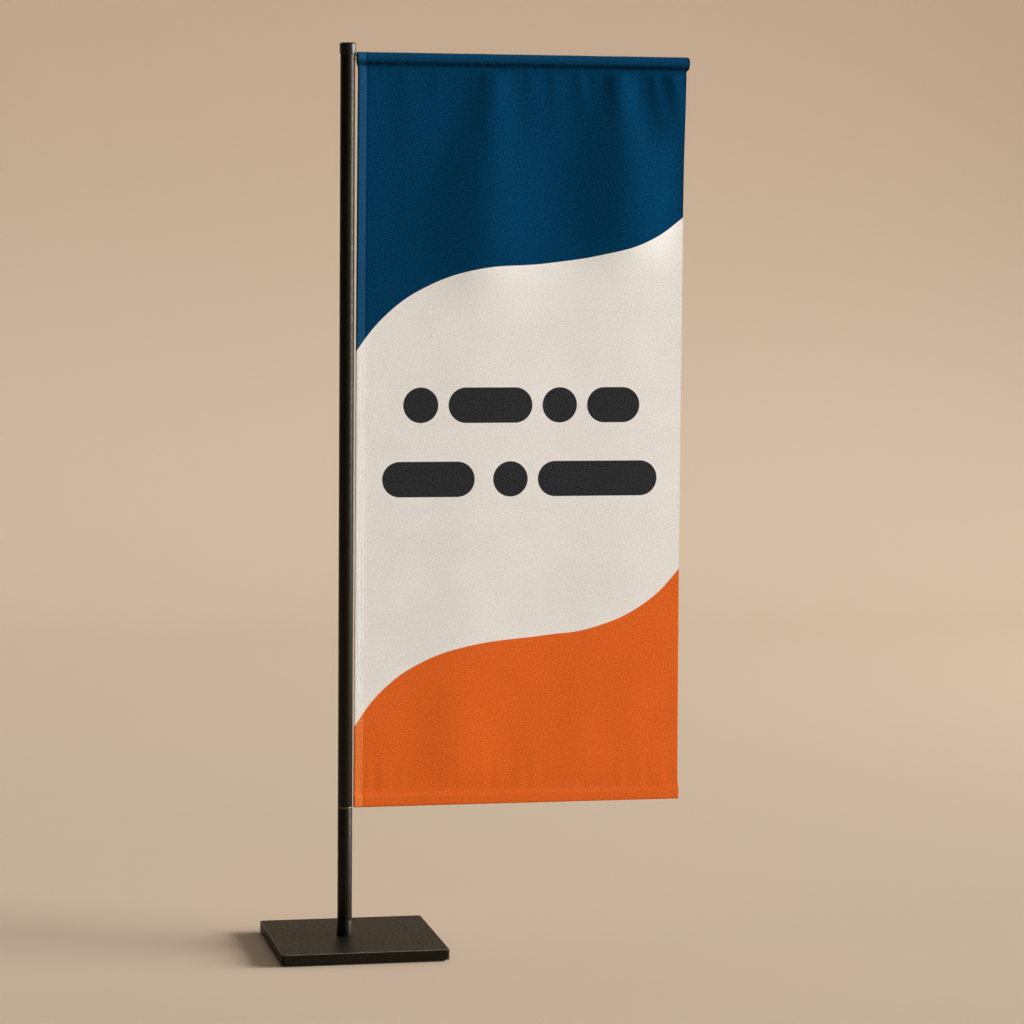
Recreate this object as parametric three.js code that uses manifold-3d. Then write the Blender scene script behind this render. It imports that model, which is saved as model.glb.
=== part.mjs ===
// A desk flag stand: a square steel foot, a slim mast in two lengths with a turning joint between
// them, and a narrow cloth banner whose top sleeve is threaded on a short arm at the mast's head.
//
// Millimetres, +Z up. The origin is where the mast's axis meets the surface the stand rests on.
// +X runs along the arm, from the mast to its free end, and the banner's printed face looks to -Y.

import * as THREE from "three";
import { mergeVertices } from "three/addons/utils/BufferGeometryUtils.js";
import Module from "manifold-3d";

// Driving dimensions

const TOTAL_HEIGHT = 432;
const ROUND_SIDES = 48;
const SMALL_SIDES = 32;

// Foot: a square plate on a thin non-slip sheet; the mast stands a little left of its middle.
const PAD_THICKNESS = 0.8;
const PAD_INSET = 1.5;
const PLATE_SIDE = 80;
const PLATE_THICKNESS = 5;
const PLATE_CENTRE_X = 4.2;
const PLATE_CORNER_RADIUS = 1.5;
const PLATE_EDGE_BEVEL = 0.4;

// Mast: one size of round tube, cut in two.
const TUBE_RADIUS = 3.5;
const TUBE_BORE_RADIUS = 2.7;
const PLUG_RADIUS = 2.65;
const COLLAR_RADIUS = 3.875;
const COLLAR_BORE_RADIUS = 3.55;
const FOOT_COLLAR_TOP_RADIUS = 3.65;
const FOOT_COLLAR_HEIGHT = 7.5;

// Mast joint: a loose pin with a thin flange, which shows as a ring between the two tubes.
const SEAM_Z = 67.9;
const SEAM_FLANGE = 0.6;
const PIN_RADIUS = 2.6;
const PIN_ENGAGEMENT = 25;
const PIN_CHAMFER = 0.6;
const RUNNING_GAP = 0.02;

// Screw through the plate, up into the insert in the mast's foot.
const SCREW_RADIUS = 1.5;
const SCREW_HOLE_RADIUS = 1.6;
const SCREW_HEAD_RADIUS = 2.9;
const SCREW_SEAT_GAP = 0.2;
const SCREW_RECESS = 0.15;
const SCREW_REACH = 13.5;
const SCREW_POINT = 0.5;
const SOCKET_ACROSS_CORNERS = 2.3;
const SOCKET_DEPTH = 1.1;
const INSERT_HEIGHT = 10;

// Cap on the mast's head.
const CAP_HEIGHT = 5.2;
const CAP_TOP_THICKNESS = 0.8;
const CAP_SEAT_GAP = 0.1;
const CAP_EDGE_RADIUS = 1;
const CAP_EDGE_STEPS = 4;

// Arm: a rod with a thinner neck, which turns in a cross-drilled plug inside the mast's head.
const ARM_Z = 425.25;
const ARM_RADIUS = 1.75;
const ARM_END_X = 165;
const ARM_SHOULDER_GAP = 0.1;
const NECK_RADIUS = 1.5;
const NECK_HOLE_RADIUS = 1.6;
const NECK_TUBE_HOLE_RADIUS = 1.65;
const NECK_INSIDE = 2;
const TIP_RADIUS = 1.3;
const TIP_LENGTH = 4;
const TIP_CAP_LENGTH = 5;
const TIP_CAP_BORE_RADIUS = 1.35;
const TIP_CAP_NOSE = 0.6;
const TIP_CAP_RIM_GAP = 0.05;
const TIP_CAP_END_GAP = 0.1;
const ARM_BLOCK_LENGTH = 10;
const ARM_BLOCK_BELOW_ARM = 0.5;

// Banner: one sheet of cloth, sewn round the arm at the top and round a flat bar at the bottom.
const CLOTH = 0.4;
const PANEL_THICKNESS = 0.5;
const PANEL_LEFT_X = 4.8;
const PANEL_WIDTH = 159.7;
const SLEEVE_LEFT_X = 4.2;
const SLEEVE_RIGHT_X = 165.7;
const SLEEVE_INNER_RADIUS = 1.95;
const SLEEVE_SEAM_DROP = 3.75;
const SLEEVE_STEPS = 24;
const BANNER_BOTTOM_Z = 67.8;
const HEM_HEIGHT = 6.5;
const HEM_OUTER = 1;
const HEM_SIDE_EXTRA = 0.5;
const HEM_BAR_WIDTH = 4.4;
const HEM_BAR_THICKNESS = 0.8;
const HEM_BAR_INSET = 6;
const HEM_BAR_GAP = 0.15;
const LEFT_HEM_WIDTH = 4.5;
const LEFT_HEM_THICKNESS = 0.3;
const LEFT_HEM_END_GAP = 0.3;

// Heights and places that follow from them
const plateBottom = PAD_THICKNESS;
const plateTop = plateBottom + PLATE_THICKNESS;
const lowerTubeTop = SEAM_Z;
const upperTubeBottom = SEAM_Z + SEAM_FLANGE;
const capBottom = TOTAL_HEIGHT - CAP_HEIGHT;
const capCeiling = TOTAL_HEIGHT - CAP_TOP_THICKNESS;
const upperTubeTop = capCeiling - CAP_SEAT_GAP;
const armShoulderX = COLLAR_RADIUS + ARM_SHOULDER_GAP;
const sleeveOuterRadius = SLEEVE_INNER_RADIUS + CLOTH;
const sleeveSeamZ = ARM_Z - SLEEVE_SEAM_DROP;
const hemTop = BANNER_BOTTOM_Z + HEM_HEIGHT;
const panelRightX = PANEL_LEFT_X + PANEL_WIDTH;

const wasm = await Module();
wasm.setup();

// Shapes

// A solid of revolution about +Z. The profile lists [radius, height] anticlockwise.
function turned(profile, sides) {
  const points = profile.map(([radius, height]) => new THREE.Vector2(radius, height));
  const geometry = new THREE.LatheGeometry(points, sides);
  geometry.rotateX(Math.PI / 2);
  return geometry;
}

function ring(outerRadius, innerRadius, bottom, top) {
  const profile = [
    [innerRadius, bottom],
    [outerRadius, bottom],
    [outerRadius, top],
    [innerRadius, top],
    [innerRadius, bottom],
  ];
  return turned(profile, ROUND_SIDES);
}

function rod(radius, bottom, top, sides = ROUND_SIDES) {
  const profile = [
    [0, bottom],
    [radius, bottom],
    [radius, top],
    [0, top],
  ];
  return turned(profile, sides);
}

// Turns a solid made about +Z so that its axis lies along +X, at the arm's height.
function alongArm(geometry) {
  geometry.rotateY(Math.PI / 2);
  geometry.translate(0, 0, ARM_Z);
  return geometry;
}

function roundedSquare(side, cornerRadius) {
  const half = side / 2;
  const flat = half - cornerRadius;
  const shape = new THREE.Shape();
  shape.moveTo(flat, -half);
  shape.absarc(flat, -flat, cornerRadius, -Math.PI / 2, 0);
  shape.absarc(flat, flat, cornerRadius, 0, Math.PI / 2);
  shape.absarc(-flat, flat, cornerRadius, Math.PI / 2, Math.PI);
  shape.absarc(-flat, -flat, cornerRadius, Math.PI, 1.5 * Math.PI);
  shape.closePath();
  return shape;
}

// Extrudes an outline drawn in the Y-Z plane along +X.
function alongX(shape, left, right) {
  const geometry = new THREE.ExtrudeGeometry(shape, {
    depth: right - left,
    bevelEnabled: false,
    curveSegments: SLEEVE_STEPS,
  });
  geometry.rotateX(Math.PI / 2);
  geometry.rotateZ(Math.PI / 2);
  geometry.translate(left, 0, 0);
  return geometry;
}

function box(lowX, highX, lowY, highY, lowZ, highZ) {
  const geometry = new THREE.BoxGeometry(highX - lowX, highY - lowY, highZ - lowZ);
  geometry.translate((lowX + highX) / 2, (lowY + highY) / 2, (lowZ + highZ) / 2);
  return geometry;
}

// Joins and cuts

function solidFrom(geometry) {
  const bare = geometry.clone();
  bare.deleteAttribute("normal");
  bare.deleteAttribute("uv");
  const merged = mergeVertices(bare);
  const mesh = new wasm.Mesh({
    numProp: 3,
    vertProperties: merged.attributes.position.array,
    triVerts: new Uint32Array(merged.index.array),
  });
  return new wasm.Manifold(mesh);
}

function geometryFrom(solid) {
  const mesh = solid.getMesh();
  const geometry = new THREE.BufferGeometry();
  geometry.setAttribute("position", new THREE.BufferAttribute(mesh.vertProperties, 3));
  geometry.setIndex(new THREE.BufferAttribute(mesh.triVerts, 1));
  geometry.computeVertexNormals();
  return geometry;
}

function cut(geometry, ...cutters) {
  const whole = solidFrom(geometry);
  const rest = cutters.reduce((solid, cutter) => solid.subtract(solidFrom(cutter)), whole);
  return geometryFrom(rest);
}

// Foot

function basePlate() {
  const depth = PLATE_THICKNESS - 2 * PLATE_EDGE_BEVEL;
  const inner = roundedSquare(
    PLATE_SIDE - 2 * PLATE_EDGE_BEVEL,
    PLATE_CORNER_RADIUS - PLATE_EDGE_BEVEL,
  );
  const slab = new THREE.ExtrudeGeometry(inner, {
    depth,
    bevelThickness: PLATE_EDGE_BEVEL,
    bevelSize: PLATE_EDGE_BEVEL,
    bevelSegments: 1,
    curveSegments: 6,
  });
  slab.translate(PLATE_CENTRE_X, 0, plateBottom + PLATE_EDGE_BEVEL);
  const seatRadius = SCREW_HEAD_RADIUS + SCREW_SEAT_GAP;
  const coneTop = plateBottom + seatRadius - SCREW_HOLE_RADIUS;
  const screwHole = turned(
    [
      [0, plateBottom - 1],
      [seatRadius, plateBottom - 1],
      [seatRadius, plateBottom],
      [SCREW_HOLE_RADIUS, coneTop],
      [SCREW_HOLE_RADIUS, plateTop + 1],
      [0, plateTop + 1],
    ],
    SMALL_SIDES,
  );
  return cut(slab, screwHole);
}

function nonSlipPad() {
  const outline = roundedSquare(PLATE_SIDE - 2 * PAD_INSET, PLATE_CORNER_RADIUS);
  const pad = new THREE.ExtrudeGeometry(outline, {
    depth: PAD_THICKNESS,
    bevelEnabled: false,
    curveSegments: 6,
  });
  pad.translate(PLATE_CENTRE_X, 0, 0);
  return pad;
}

// The collar round the mast's foot narrows upwards to little more than the tube.
function footCollar() {
  const top = plateTop + FOOT_COLLAR_HEIGHT;
  return turned(
    [
      [COLLAR_BORE_RADIUS, plateTop],
      [COLLAR_RADIUS, plateTop],
      [FOOT_COLLAR_TOP_RADIUS, top],
      [COLLAR_BORE_RADIUS, top],
      [COLLAR_BORE_RADIUS, plateTop],
    ],
    ROUND_SIDES,
  );
}

function baseScrew() {
  const headBottom = plateBottom + SCREW_RECESS;
  const headTop = headBottom + SCREW_HEAD_RADIUS - SCREW_RADIUS;
  const blank = turned(
    [
      [0, headBottom],
      [SCREW_HEAD_RADIUS, headBottom],
      [SCREW_RADIUS, headTop],
      [SCREW_RADIUS, SCREW_REACH - SCREW_POINT],
      [SCREW_RADIUS - SCREW_POINT, SCREW_REACH],
      [0, SCREW_REACH],
    ],
    SMALL_SIDES,
  );
  const socket = rod(SOCKET_ACROSS_CORNERS / 2, headBottom - 1, headBottom + SOCKET_DEPTH, 6);
  return cut(blank, socket);
}

// Mast

function couplingPin() {
  const low = SEAM_Z - PIN_ENGAGEMENT;
  const high = upperTubeBottom + PIN_ENGAGEMENT;
  const flangeLow = SEAM_Z + RUNNING_GAP;
  const flangeHigh = upperTubeBottom - RUNNING_GAP;
  return turned(
    [
      [0, low],
      [PIN_RADIUS - PIN_CHAMFER, low],
      [PIN_RADIUS, low + PIN_CHAMFER],
      [PIN_RADIUS, flangeLow],
      [TUBE_RADIUS, flangeLow],
      [TUBE_RADIUS, flangeHigh],
      [PIN_RADIUS, flangeHigh],
      [PIN_RADIUS, high - PIN_CHAMFER],
      [PIN_RADIUS - PIN_CHAMFER, high],
      [0, high],
    ],
    ROUND_SIDES,
  );
}

function upperPole() {
  const tube = ring(TUBE_RADIUS, TUBE_BORE_RADIUS, upperTubeBottom, upperTubeTop);
  const neckHole = alongArm(rod(NECK_TUBE_HOLE_RADIUS, 0, TUBE_RADIUS + 1, SMALL_SIDES));
  return cut(tube, neckHole);
}

function armBlock() {
  const middle = ARM_Z - ARM_BLOCK_BELOW_ARM;
  const low = middle - ARM_BLOCK_LENGTH / 2;
  const high = middle + ARM_BLOCK_LENGTH / 2;
  const reach = PLUG_RADIUS + 1;
  const neckHole = alongArm(rod(NECK_HOLE_RADIUS, -reach, reach, SMALL_SIDES));
  return cut(rod(PLUG_RADIUS, low, high), neckHole);
}

function topCap() {
  const arcCentre = COLLAR_RADIUS - CAP_EDGE_RADIUS;
  const roundedEdge = Array.from({ length: CAP_EDGE_STEPS + 1 }, (_, step) => {
    const angle = (step / CAP_EDGE_STEPS) * (Math.PI / 2);
    const radius = arcCentre + CAP_EDGE_RADIUS * Math.cos(angle);
    const height = TOTAL_HEIGHT - CAP_EDGE_RADIUS + CAP_EDGE_RADIUS * Math.sin(angle);
    return [radius, height];
  });
  return turned(
    [
      [0, capCeiling],
      [COLLAR_BORE_RADIUS, capCeiling],
      [COLLAR_BORE_RADIUS, capBottom],
      [COLLAR_RADIUS, capBottom],
      ...roundedEdge,
      [0, TOTAL_HEIGHT],
    ],
    ROUND_SIDES,
  );
}

// Arm

function bannerArm() {
  const tipStart = ARM_END_X - TIP_CAP_LENGTH;
  const blank = turned(
    [
      [0, -NECK_INSIDE],
      [NECK_RADIUS, -NECK_INSIDE],
      [NECK_RADIUS, armShoulderX],
      [ARM_RADIUS, armShoulderX],
      [ARM_RADIUS, tipStart],
      [TIP_RADIUS, tipStart],
      [TIP_RADIUS, tipStart + TIP_LENGTH],
      [0, tipStart + TIP_LENGTH],
    ],
    SMALL_SIDES,
  );
  return alongArm(blank);
}

function armEndCap() {
  const tipStart = ARM_END_X - TIP_CAP_LENGTH;
  const start = tipStart + TIP_CAP_RIM_GAP;
  const inside = tipStart + TIP_LENGTH + TIP_CAP_END_GAP;
  const cap = turned(
    [
      [0, inside],
      [TIP_CAP_BORE_RADIUS, inside],
      [TIP_CAP_BORE_RADIUS, start],
      [ARM_RADIUS, start],
      [ARM_RADIUS, ARM_END_X - TIP_CAP_NOSE],
      [ARM_RADIUS - TIP_CAP_NOSE, ARM_END_X],
      [0, ARM_END_X],
    ],
    SMALL_SIDES,
  );
  return alongArm(cap);
}

// Banner

// A loop that hangs on a round bar: an arc over the bar, and two straight sides to a seam below.
function hangingLoop(radius, seamHalfWidth) {
  const seamAngle = Math.asin(radius / SLEEVE_SEAM_DROP);
  const outline = new THREE.Shape();
  outline.moveTo(seamHalfWidth, sleeveSeamZ);
  outline.absarc(0, ARM_Z, radius, -seamAngle, Math.PI + seamAngle);
  outline.lineTo(-seamHalfWidth, sleeveSeamZ);
  outline.closePath();
  return outline;
}

function topSleeve() {
  const outside = alongX(hangingLoop(sleeveOuterRadius, CLOTH), SLEEVE_LEFT_X, SLEEVE_RIGHT_X);
  const hollow = new THREE.Shape();
  hollow.absarc(0, ARM_Z, SLEEVE_INNER_RADIUS, 0, 2 * Math.PI);
  hollow.closePath();
  return cut(outside, alongX(hollow, SLEEVE_LEFT_X - 1, SLEEVE_RIGHT_X + 1));
}

function bottomHem() {
  const left = PANEL_LEFT_X - HEM_SIDE_EXTRA;
  const right = panelRightX + HEM_SIDE_EXTRA;
  const outside = box(left, right, -HEM_OUTER, HEM_OUTER, BANNER_BOTTOM_Z, hemTop);
  const pocketDepth = HEM_BAR_THICKNESS / 2 + HEM_BAR_GAP;
  const pocketLow = BANNER_BOTTOM_Z + CLOTH;
  const pocketHigh = pocketLow + HEM_BAR_WIDTH + 2 * HEM_BAR_GAP;
  const hollow = box(left - 1, right + 1, -pocketDepth, pocketDepth, pocketLow, pocketHigh);
  return cut(outside, hollow);
}

function hemBar() {
  const low = BANNER_BOTTOM_Z + CLOTH + HEM_BAR_GAP;
  const left = PANEL_LEFT_X + HEM_BAR_INSET;
  const right = panelRightX - HEM_BAR_INSET;
  const half = HEM_BAR_THICKNESS / 2;
  return box(left, right, -half, half, low, low + HEM_BAR_WIDTH);
}

function bannerPanel() {
  const half = PANEL_THICKNESS / 2;
  return box(PANEL_LEFT_X, panelRightX, -half, half, hemTop, sleeveSeamZ);
}

// The panel's edge beside the mast is turned to the back and sewn down.
function leftHem() {
  const front = PANEL_THICKNESS / 2;
  const right = PANEL_LEFT_X + LEFT_HEM_WIDTH;
  const back = front + LEFT_HEM_THICKNESS;
  const low = hemTop + LEFT_HEM_END_GAP;
  const high = sleeveSeamZ - LEFT_HEM_END_GAP;
  return box(PANEL_LEFT_X, right, front, back, low, high);
}

// Materials

function finish(color, roughness, metalness) {
  return new THREE.MeshStandardMaterial({ color, roughness, metalness });
}

const blackSteel = finish(0x1c1a17, 0.42, 0.3);
const blackTube = finish(0x121110, 0.35, 0.3);
const blackCap = finish(0x141312, 0.35, 0);
const bareSteel = finish(0x8f8d88, 0.35, 0.9);
const zincSteel = finish(0xa9a8a3, 0.4, 0.9);
const aluminium = finish(0xb4b3b0, 0.4, 0.9);
const padRubber = finish(0x171716, 0.9, 0);
const clearVinyl = finish(0x2a2a2a, 0.5, 0);
const blueCloth = finish(0x154163, 0.9, 0);
const whiteCloth = finish(0xe6dbcf, 0.9, 0);
const orangeCloth = finish(0xdf6a2e, 0.9, 0);

// Assembly

const stand = new THREE.Group();

function add(name, geometry, material) {
  const mesh = new THREE.Mesh(geometry, material);
  mesh.name = name;
  stand.add(mesh);
}

add("base_plate", basePlate(), blackSteel);
add("non_slip_pad", nonSlipPad(), padRubber);
add("base_screw", baseScrew(), zincSteel);
add("foot_insert", ring(PLUG_RADIUS, SCREW_HOLE_RADIUS, plateTop, plateTop + INSERT_HEIGHT), aluminium);
add("foot_collar", footCollar(), blackTube);
add("lower_pole", ring(TUBE_RADIUS, TUBE_BORE_RADIUS, plateTop, lowerTubeTop), blackTube);
add("coupling_pin", couplingPin(), bareSteel);
add("upper_pole", upperPole(), blackTube);
add("arm_block", armBlock(), aluminium);
add("top_cap", topCap(), blackCap);
add("banner_arm", bannerArm(), bareSteel);
add("arm_end_cap", armEndCap(), clearVinyl);
add("top_sleeve", topSleeve(), blueCloth);
add("banner_panel", bannerPanel(), whiteCloth);
add("left_hem", leftHem(), whiteCloth);
add("bottom_hem", bottomHem(), orangeCloth);
add("hem_bar", hemBar(), zincSteel);

export default stand;
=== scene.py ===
"""The looks of a desk flag stand: a powder-coated foot and mast, and a printed cloth banner.

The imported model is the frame. Every place and size here comes from its nodes, in metres, +Z up,
with the mast's axis at x = y = 0, the arm along +X and the banner's printed face towards -Y.
"""

import math

import bmesh
import bpy
import numpy as np
from mathutils import Matrix, Vector


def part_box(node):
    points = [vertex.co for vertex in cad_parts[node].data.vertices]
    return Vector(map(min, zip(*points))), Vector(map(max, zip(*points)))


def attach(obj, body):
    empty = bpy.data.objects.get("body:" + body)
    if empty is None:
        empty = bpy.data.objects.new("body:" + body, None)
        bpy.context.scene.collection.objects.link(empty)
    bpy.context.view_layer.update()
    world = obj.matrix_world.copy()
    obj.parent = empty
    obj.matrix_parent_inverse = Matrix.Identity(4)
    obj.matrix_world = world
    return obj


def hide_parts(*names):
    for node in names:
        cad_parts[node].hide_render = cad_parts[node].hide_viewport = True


MM = 0.001

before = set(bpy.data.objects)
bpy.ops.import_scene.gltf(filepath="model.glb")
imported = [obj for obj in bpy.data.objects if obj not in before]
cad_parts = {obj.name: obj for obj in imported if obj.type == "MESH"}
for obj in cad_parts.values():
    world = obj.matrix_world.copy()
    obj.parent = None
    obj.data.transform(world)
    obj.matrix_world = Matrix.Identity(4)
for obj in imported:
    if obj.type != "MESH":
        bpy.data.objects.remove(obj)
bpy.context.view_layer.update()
scene = bpy.context.scene


# Camera

LENS_MM = 119.9
SENSOR_MM = 36.0
CAMERA_AZIMUTH = math.radians(-11.67)
CAMERA_ELEVATION = math.radians(5.03)
CAMERA_ROLL = math.radians(0.46)
CAMERA_DISTANCE = 1.624
CAMERA_ASIDE = 0.079
CAMERA_HEIGHT = 0.2109


def make_camera():
    """Looks at the banner's lower half from a little left of its printed face."""
    azimuth, elevation = CAMERA_AZIMUTH, CAMERA_ELEVATION
    right = Vector((math.cos(azimuth), math.sin(azimuth), 0))
    back = Vector(
        (
            math.sin(azimuth) * math.cos(elevation),
            -math.cos(azimuth) * math.cos(elevation),
            math.sin(elevation),
        )
    )
    up = back.cross(right)
    turned_right = math.cos(CAMERA_ROLL) * right + math.sin(CAMERA_ROLL) * up
    turned_up = math.cos(CAMERA_ROLL) * up - math.sin(CAMERA_ROLL) * right
    place = CAMERA_ASIDE * right + Vector((0, 0, CAMERA_HEIGHT)) + CAMERA_DISTANCE * back
    data = bpy.data.cameras.new("camera")
    data.lens = LENS_MM
    data.sensor_width = SENSOR_MM
    camera = bpy.data.objects.new("camera", data)
    scene.collection.objects.link(camera)
    turn = Matrix((turned_right, turned_up, back)).transposed()
    camera.matrix_world = Matrix.Translation(place) @ turn.to_4x4()
    scene.camera = camera


# Light, floor and backdrop

FLOOR_COLOUR = (0.66, 0.55, 0.43, 1)
WALL_COLOUR = (0.58, 0.46, 0.35, 1)
WORLD_COLOUR = (1.0, 0.94, 0.86, 1)
WORLD_STRENGTH = 0.08
FLOOR_HALF_WIDTH = 4.0
FLOOR_FRONT = -3.0
BACKDROP_START = 1.2
BACKDROP_RADIUS = 0.6
BACKDROP_HEIGHT = 2.6
BACKDROP_STEPS = 16
WALL_TONE_HEIGHT = 0.5
LIT_POINT = (0.08, 0, 0.22)
WINDOW_PLACE = (3.16, -0.506, 0.75)
WINDOW_SPREAD = 36
WINDOW_STRENGTH = 9.4


def aim_light(data, place, energy, colour):
    """Puts a light in its place, turned towards the middle of the stand."""
    data.energy = energy
    data.color = colour
    light = bpy.data.objects.new(data.name, data)
    light.location = place
    aim = Vector(LIT_POINT) - Vector(place)
    light.rotation_euler = aim.to_track_quat("-Z", "Y").to_euler()
    scene.collection.objects.link(light)


def area_light(name, place, width, height, watts, colour):
    data = bpy.data.lights.new(name, "AREA")
    data.shape = "RECTANGLE"
    data.size = width
    data.size_y = height
    aim_light(data, place, watts, colour)


def far_window():
    """Daylight from a window so far away that it is equally bright all over the floor."""
    data = bpy.data.lights.new("window", "SUN")
    data.angle = math.radians(WINDOW_SPREAD)
    aim_light(data, WINDOW_PLACE, WINDOW_STRENGTH, (1.0, 0.97, 0.935))


def make_lights():
    """A bright window on the right, and weaker light from the front, from behind and from above."""
    far_window()
    area_light("fill", (0.6, -2.0, 0.8), 1.4, 1.4, 3.5, (1.0, 0.97, 0.93))
    area_light("rim", (1.5, 0.75, 0.55), 0.7, 0.6, 6, (1.0, 0.96, 0.91))
    area_light("above", (0.1, 0.5, 1.7), 1.2, 1.2, 2, (1.0, 0.97, 0.94))


def make_world():
    world = bpy.data.worlds.new("soft_room")
    world.use_nodes = True
    background = world.node_tree.nodes["Background"]
    background.inputs["Color"].default_value = WORLD_COLOUR
    background.inputs["Strength"].default_value = WORLD_STRENGTH
    scene.world = world
    scene.view_settings.view_transform = "Standard"


def make_stage():
    """A pale floor that curves up into a plain backdrop."""
    line = [(FLOOR_FRONT, 0.0), (BACKDROP_START, 0.0)]
    for step in range(1, BACKDROP_STEPS + 1):
        angle = math.radians(90) * step / BACKDROP_STEPS
        reach = BACKDROP_START + BACKDROP_RADIUS * math.sin(angle)
        line.append((reach, BACKDROP_RADIUS * (1 - math.cos(angle))))
    line.append((BACKDROP_START + BACKDROP_RADIUS, BACKDROP_HEIGHT))
    sides = (-FLOOR_HALF_WIDTH, FLOOR_HALF_WIDTH)
    points = [(x, y, z) for y, z in line for x in sides]
    faces = [(2 * i, 2 * i + 1, 2 * i + 3, 2 * i + 2) for i in range(len(line) - 1)]
    shader = Shader("stage", {"Roughness": 1.0, "Specular IOR Level": 0.0})
    height = shader.axes(shader.coordinates("Object"))[2]
    tone = shader.mix(shader.step(height, 0.0, WALL_TONE_HEIGHT), FLOOR_COLOUR, WALL_COLOUR)
    shader.set("Base Color", tone)
    floor = make_object("floor", points, faces, [shader.material], SMOOTH_BELOW)


# Node trees


class Shader:
    """A material whose nodes are made by short calls."""

    def __init__(self, name, values):
        self.material = bpy.data.materials.new(name)
        self.material.use_nodes = True
        self.tree = self.material.node_tree
        self.surface = self.tree.nodes["Principled BSDF"]
        for socket, value in values.items():
            self.set(socket, value)

    def set(self, socket, value):
        """Gives one of the surface's own sockets a value or a node's result."""
        self.put(self.surface.inputs[socket], value)

    def put(self, socket, value):
        if isinstance(value, bpy.types.NodeSocket):
            self.tree.links.new(value, socket)
        else:
            socket.default_value = value

    def node(self, kind, inputs=None, **settings):
        made = self.tree.nodes.new(kind)
        for name, value in settings.items():
            setattr(made, name, value)
        for name, value in (inputs or {}).items():
            self.put(made.inputs[name], value)
        return made

    def math(self, operation, *values):
        made = self.node("ShaderNodeMath", operation=operation)
        for index, value in enumerate(values):
            self.put(made.inputs[index], value)
        return made.outputs[0]

    def plus(self, first, second):
        return self.math("ADD", first, second)

    def minus(self, first, second):
        return self.math("SUBTRACT", first, second)

    def times(self, first, second):
        return self.math("MULTIPLY", first, second)

    def step(self, value, low, high):
        """0 below low, 1 above high, smooth between them."""
        made = self.node(
            "ShaderNodeMapRange",
            {"Value": value, "From Min": low, "From Max": high},
            interpolation_type="SMOOTHSTEP",
        )
        return made.outputs["Result"]

    def band(self, value, middle, inner, outer):
        """1 within inner of the middle, 0 beyond outer."""
        away = self.math("ABSOLUTE", self.minus(value, middle))
        return self.minus(1.0, self.step(away, inner, outer))

    def spread(self, value, low, high):
        """Turns a noise value round 0.5 into one between low and high."""
        made = self.node(
            "ShaderNodeMapRange",
            {"Value": value, "From Min": 0.3, "From Max": 0.7, "To Min": low, "To Max": high},
        )
        return made.outputs["Result"]

    def mix(self, factor, first, second, blend="MIX"):
        """Mixes two colours; a colour mix node's own colour sockets are 6 and 7, and its result 2."""
        made = self.node("ShaderNodeMix", data_type="RGBA", blend_type=blend)
        self.put(made.inputs["Factor"], factor)
        self.put(made.inputs[6], first)
        self.put(made.inputs[7], second)
        return made.outputs[2]

    def noise(self, vector, scale, detail=2.0, roughness=0.5):
        values = {"Vector": vector, "Scale": scale, "Detail": detail, "Roughness": roughness}
        return self.node("ShaderNodeTexNoise", values).outputs["Fac"]

    def stretched(self, vector, scale):
        made = self.node("ShaderNodeMapping", {"Vector": vector, "Scale": scale})
        return made.outputs["Vector"]

    def coordinates(self, output):
        return self.node("ShaderNodeTexCoord").outputs[output]

    def axes(self, vector):
        return self.node("ShaderNodeSeparateXYZ", {"Vector": vector}).outputs

    def bump(self, height, depth, strength=1.0, under=None):
        """A relief of the given depth in metres; under is a coarser relief beneath it."""
        values = {"Height": height, "Distance": depth, "Strength": strength}
        if under is not None:
            values["Normal"] = under
        return self.node("ShaderNodeBump", values).outputs["Normal"]


# Materials of the foot and mast

COAT_ROUGHNESS = 0.43
COAT_TINT = (1.0, 0.89, 0.70, 1)
# The colour of the painted highlight along the foot's upper edges.
PAINTED_EDGE_HIGHLIGHT = (0.30, 0.265, 0.21, 1)


def coated_steel(name, dark, light, gloss, grain, grain_depth):
    """Satin powder coat: a fine even grain, and a finish that varies a little."""
    shader = Shader(name, {"Specular IOR Level": gloss, "Specular Tint": COAT_TINT})
    place = shader.coordinates("Object")
    speckle = shader.step(shader.noise(place, 1500, 2), 0.42, 0.68)
    shader.set("Base Color", shader.mix(speckle, dark, light))
    finish = shader.spread(shader.noise(place, 700, 2), COAT_ROUGHNESS - 0.09, COAT_ROUGHNESS + 0.09)
    shader.set("Roughness", finish)
    coarse = shader.bump(shader.noise(place, grain, 1), grain_depth, 0.8)
    fine = shader.bump(shader.noise(place, grain * 2.7, 2), grain_depth * 0.5, 0.6, coarse)
    shader.set("Normal", fine)
    return shader


def plate_coat():
    """The foot's coat, with a painted highlight that makes it a little paler along its upper edges."""
    shader = coated_steel(
        "plate_coat",
        dark=(0.006, 0.0055, 0.0038, 1),
        light=(0.025, 0.022, 0.0145, 1),
        gloss=0.07,
        grain=1300,
        grain_depth=0.09 * MM,
    )
    low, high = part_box("base_plate")
    centre = (low + high) / 2
    place = shader.coordinates("Object")
    x, y, z = shader.axes(place)
    across = shader.math("ABSOLUTE", shader.minus(x, centre.x))
    along = shader.math("ABSOLUTE", y)
    reach = shader.math("MAXIMUM", across, along)
    half = (high.x - low.x) / 2
    near_side = shader.step(reach, half - 0.55 * MM, half - 0.15 * MM)
    near_top = shader.step(z, high.z - 0.4 * MM, high.z - 0.1 * MM)
    patchy = shader.spread(shader.noise(place, 160, 3), 0.25, 0.75)
    # Painted highlight: the coat made paler in patches along the upper edges.
    highlight_mask = shader.times(shader.times(near_side, near_top), patchy)
    coat = shader.surface.inputs["Base Color"].links[0].from_socket
    highlighted_coat = shader.mix(highlight_mask, coat, PAINTED_EDGE_HIGHLIGHT)
    shader.set("Base Color", highlighted_coat)
    return shader.material


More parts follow.
